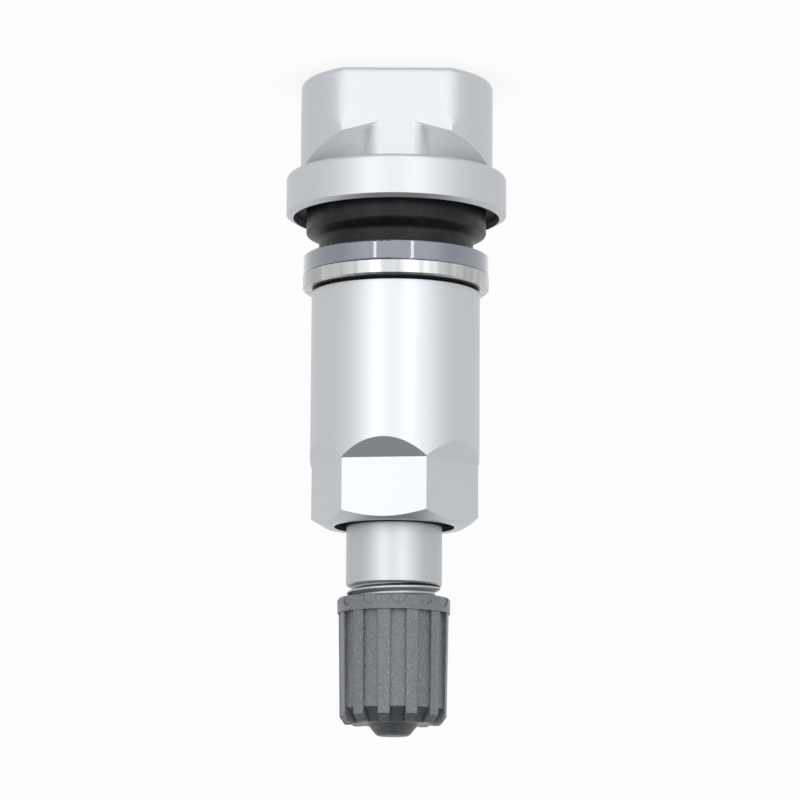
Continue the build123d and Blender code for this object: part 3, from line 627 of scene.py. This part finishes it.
class VALVE_OT_threads(bpy.types.Operator):
    """Cut the screw threads of the stem, the nut and the cap"""
    bl_idname = "valve.threads"
    bl_label = "Screw Threads"

    def execute(self, context):
        sizes, finish = context.scene.valve_threads, context.scene.valve_finish
        stem_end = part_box("valve_body")[1].z
        nut_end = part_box("clamp_nut")[1].z
        valve_start = stem_end - sizes.valve_length
        clamp_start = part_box("rim_grommet")[1].z - sizes.clamp_inset
        # The mating ridges start whole turns and a half later, so that they run in the middle of the grooves
        cap_start = valve_start + 3.5 * sizes.valve_pitch
        nut_start = clamp_start + 6.5 * sizes.clamp_pitch
        valve, clamp = (sizes.valve_diameter, sizes.valve_pitch), (sizes.clamp_diameter, sizes.clamp_pitch)
        threads = (
            ("valve_thread", "stem", "anodised_stem", body_material(finish), valve, True,
             valve_start, stem_end - VALVE_THREAD_END),
            ("cap_thread", "cap", "cap_plastic", cap_material(finish), valve, False,
             cap_start, stem_end - CAP_THREAD_END),
            ("clamp_thread", "stem", "anodised_stem", body_material(finish), clamp, True,
             clamp_start, nut_end - CLAMP_THREAD_END),
            ("nut_thread", "nut", "anodised_nut", nut_material(finish), clamp, False,
             nut_start, nut_end - NUT_THREAD_END),
        )
        for name, body, slot, material, (diameter, pitch), male, low, high in threads:
            depth = RIDGE_DEPTH * pitch
            crest = diameter / 2 if male else diameter / 2 - depth
            root = crest - depth if male else diameter / 2 + sizes.play
            thread_piece(name, body, low, {
                "Radius": root, "Pitch": pitch, "Turns": (high - low) / pitch,
                "Depth": abs(crest - root), "Root Width": RIDGE_ROOT * pitch,
                "Crest Width": RIDGE_CREST * pitch, "Facing": -pi / 2 if male else pi / 2,
                "Run Out": sizes.run_out, "Steps": RIDGE_STEPS, "Material": material})
        return {"FINISHED"}


class VALVE_OT_rubber(bpy.types.Operator):
    """Finish the rim grommet and the rubber seals"""
    bl_idname = "valve.rubber"
    bl_label = "Rubber Parts"

    def execute(self, context):
        finish = context.scene.valve_finish
        recess_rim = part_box("rim_grommet")[0].z + RECESS_DEPTH
        material = material_for(moulded_rubber, "moulded_rubber",
                                tuple(finish.rubber_colour), tuple(finish.dust_colour), recess_rim)
        for node in ("rim_grommet", "core_cup_seal", "cap_seal"):
            dress(node, material)
        return {"FINISHED"}


class VALVE_OT_washers(bpy.types.Operator):
    """Finish the two washers"""
    bl_idname = "valve.washers"
    bl_label = "Washers"

    def execute(self, context):
        finish = context.scene.valve_finish
        dress("insulating_washer", material_for(milky_nylon, "milky_nylon", tuple(finish.nylon_colour)))
        dress("clamp_washer", material_for(bright_turned_metal, "bright_turned_metal",
                                           tuple(finish.washer_colour), tuple(finish.streak_colour)))
        return {"FINISHED"}


class VALVE_OT_core(bpy.types.Operator):
    """Finish the valve core inside the stem"""
    bl_idname = "valve.core"
    bl_label = "Valve Core"

    def execute(self, context):
        brass = material_for(nickel_plated_brass, "nickel_plated_brass")
        for node in ("core_plug", "core_barrel", "core_pin", "core_cup"):
            dress(node, brass)
        dress("core_gasket", material_for(pressed_white_gasket, "pressed_white_gasket"))
        dress("core_spring", material_for(drawn_spring_wire, "drawn_spring_wire"))
        return {"FINISHED"}


class VALVE_OT_cap(bpy.types.Operator):
    """Finish the moulded cap"""
    bl_idname = "valve.cap"
    bl_label = "Cap"

    def execute(self, context):
        dress("cap_shell", cap_material(context.scene.valve_finish))
        return {"FINISHED"}


# Studio

def direction(azimuth, elevation):
    """Unit vector from the valve, with azimuth 0 on the camera's side."""
    return Vector((sin(azimuth) * cos(elevation), -cos(azimuth) * cos(elevation), sin(elevation)))


def add_strip(name, azimuth, studio):
    """Tall narrow lamp that faces the valve and isn't seen by the camera."""
    data = bpy.data.lights.new(name, "AREA")
    data.shape = "RECTANGLE"
    data.size, data.size_y = studio.strip_width, studio.strip_height
    data.energy = studio.strip_strength * pi * data.size * data.size_y
    lamp = bpy.data.objects.new(name, data)
    bpy.context.scene.collection.objects.link(lamp)
    away = direction(azimuth, 0)
    lamp.location = Vector(studio.aim) + away * studio.strip_distance
    lamp.rotation_mode = "QUATERNION"
    lamp.rotation_quaternion = away.to_track_quat("Z", "Y")
    lamp.visible_camera = False


def add_camera(studio):
    """Camera on the cap side of the waist, rolled by a half turn and the valve's lean."""
    data = bpy.data.cameras.new("camera")
    data.sensor_width = SENSOR_WIDTH
    data.lens = studio.scale * studio.distance / MM * SENSOR_WIDTH / PICTURE_WIDTH
    data.clip_start, data.clip_end = CLIP_NEAR, CLIP_FAR
    camera = bpy.data.objects.new("camera", data)
    bpy.context.scene.collection.objects.link(camera)
    away = direction(0, studio.elevation)
    camera.location = Vector(studio.aim) + away * studio.distance
    camera.rotation_mode = "QUATERNION"
    roll = Matrix.Rotation(HALF_TURN + studio.lean, 3, "Z").to_quaternion()
    camera.rotation_quaternion = away.to_track_quat("Z", "Y") @ roll
    bpy.context.scene.camera = camera


def add_floor():
    """Pale floor under the head, white where nothing shades it, with a soft shadow at its foot: a faint real
    one on the paper, and a painted one where its glow dims near the valve.
    """
    mesh = bpy.data.meshes.new("floor")
    corners = [(x * FLOOR_HALF, y * FLOOR_HALF, 0) for x, y in ((-1, -1), (1, -1), (1, 1), (-1, 1))]
    mesh.from_pydata(corners, [], [(0, 1, 2, 3)])
    floor = bpy.data.objects.new("floor", mesh)
    floor.location.z = -FLOOR_GAP
    bpy.context.scene.collection.objects.link(floor)
    material, tree = blank_material("matt_white_paper")
    paper = add(tree, "ShaderNodeBsdfDiffuse", {"Color": opaque(linear(PAPER_COLOUR))})
    # painted shadow: the glow dims near the valve's foot
    openness = add(tree, "ShaderNodeAmbientOcclusion", {"Distance": 4 * MM}, samples=4).outputs["AO"]
    white = add(tree, "ShaderNodeMapRange", {"Value": openness, "From Min": 0.3, "To Min": 0.92}).outputs[0]
    seen = add(tree, "ShaderNodeLightPath").outputs["Is Camera Ray"]
    strength = add(tree, "ShaderNodeMath", {0: white, 1: seen}, operation="MULTIPLY").outputs[0]
    glow = add(tree, "ShaderNodeEmission", {"Color": opaque((1, 1, 1)), "Strength": strength})
    both = add(tree, "ShaderNodeMixShader", {0: FLOOR_GLOW, 1: paper.outputs[0], 2: glow.outputs[0]})
    add(tree, "ShaderNodeOutputMaterial", {"Surface": both.outputs[0]})
    mesh.materials.append(material)
    floor.visible_glossy = False
    floor.visible_shadow = False


def light_world(studio):
    """White for the camera. Other rays meet a room that is brighter in front and darker overhead."""
    world = bpy.data.worlds.new("studio")
    bpy.context.scene.world = world
    world.use_nodes = True
    tree = world.node_tree
    tree.nodes.clear()
    path = add(tree, "ShaderNodeLightPath").outputs
    way = add(tree, "ShaderNodeTexCoord").outputs["Generated"]
    ahead = add(tree, "ShaderNodeVectorMath", {0: way, 1: direction(0, 0)}, operation="DOT_PRODUCT")
    front = add(tree, "ShaderNodeMapRange", {
        "Value": ahead.outputs["Value"], "From Min": cos(FRONT_EDGE), "From Max": cos(FRONT_CORE),
        "To Min": 1.0, "To Max": 1.0 + studio.front_gain}, interpolation_type="SMOOTHSTEP")
    above = add(tree, "ShaderNodeVectorMath", {0: way, 1: direction(0, OVERHEAD)}, operation="DOT_PRODUCT")
    shade = add(tree, "ShaderNodeMapRange", {
        "Value": above.outputs["Value"], "From Min": 0.5, "From Max": 0.9,
        "To Min": 1.0, "To Max": 1.0 - studio.overhead_loss})
    room = add(tree, "ShaderNodeMath", {0: front.outputs[0], 1: shade.outputs[0]}, operation="MULTIPLY")
    upward = add(tree, "ShaderNodeSeparateXYZ", {0: way}).outputs[2]
    soft = add(tree, "ShaderNodeMapRange", {
        "Value": upward, "From Min": 0.0, "From Max": 0.9,
        "To Min": studio.fill_strength, "To Max": TOP_FILL * studio.fill_strength})
    share = add(tree, "ShaderNodeMix", {0: path["Is Diffuse Ray"], 2: 1.0, 3: soft.outputs[0]})
    met = add(tree, "ShaderNodeMath", {0: room.outputs[0], 1: share.outputs[0]}, operation="MULTIPLY")
    strength = add(tree, "ShaderNodeMix", {0: path["Is Camera Ray"], 2: met.outputs[0], 3: 1.0})
    glow = add(tree, "ShaderNodeBackground", {"Color": opaque((1, 1, 1)), "Strength": strength.outputs[0]})
    add(tree, "ShaderNodeOutputWorld", {"Surface": glow.outputs[0]})


class VALVE_OT_studio(bpy.types.Operator):
    """Set up the floor, the light and the camera"""
    bl_idname = "valve.studio"
    bl_label = "Studio"

    def execute(self, context):
        studio = context.scene.valve_studio
        add_floor()
        light_world(studio)
        add_strip("strip_left", studio.strip_left, studio)
        add_strip("strip_right", studio.strip_right, studio)
        add_camera(studio)
        context.scene.view_settings.view_transform = "Standard"
        return {"FINISHED"}


class VALVE_PT_sidebar(bpy.types.Panel):
    """Lists the settings and the steps"""
    bl_idname = "VALVE_PT_sidebar"
    bl_label = "Wheel Valve"
    bl_space_type = "VIEW_3D"
    bl_region_type = "UI"
    bl_category = "Valve"

    def draw(self, context):
        for group in (context.scene.valve_finish, context.scene.valve_threads, context.scene.valve_studio):
            column = self.layout.column(align=True)
            for name in group.__annotations__:
                column.prop(group, name)
        for step in STEPS:
            self.layout.operator(step.bl_idname)


GROUPS = {"valve_finish": ValveFinish, "valve_threads": ValveThreads, "valve_studio": ValveStudio}
STEPS = (VALVE_OT_body, VALVE_OT_nut, VALVE_OT_threads, VALVE_OT_rubber, VALVE_OT_washers, VALVE_OT_core,
         VALVE_OT_cap, VALVE_OT_studio)


def register():
    for group in GROUPS.values():
        bpy.utils.register_class(group)
    for step in (*STEPS, VALVE_PT_sidebar):
        bpy.utils.register_class(step)
    for name, group in GROUPS.items():
        setattr(bpy.types.Scene, name, bpy.props.PointerProperty(type=group))


def unregister():
    for name in GROUPS:
        delattr(bpy.types.Scene, name)
    for step in (VALVE_PT_sidebar, *reversed(STEPS)):
        bpy.utils.unregister_class(step)
    for group in reversed(list(GROUPS.values())):
        bpy.utils.unregister_class(group)


def main():
    register()
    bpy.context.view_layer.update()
    for step in STEPS:
        area, name = step.bl_idname.split(".")
        getattr(getattr(bpy.ops, area), name)()


if __name__ == "__main__":
    main()
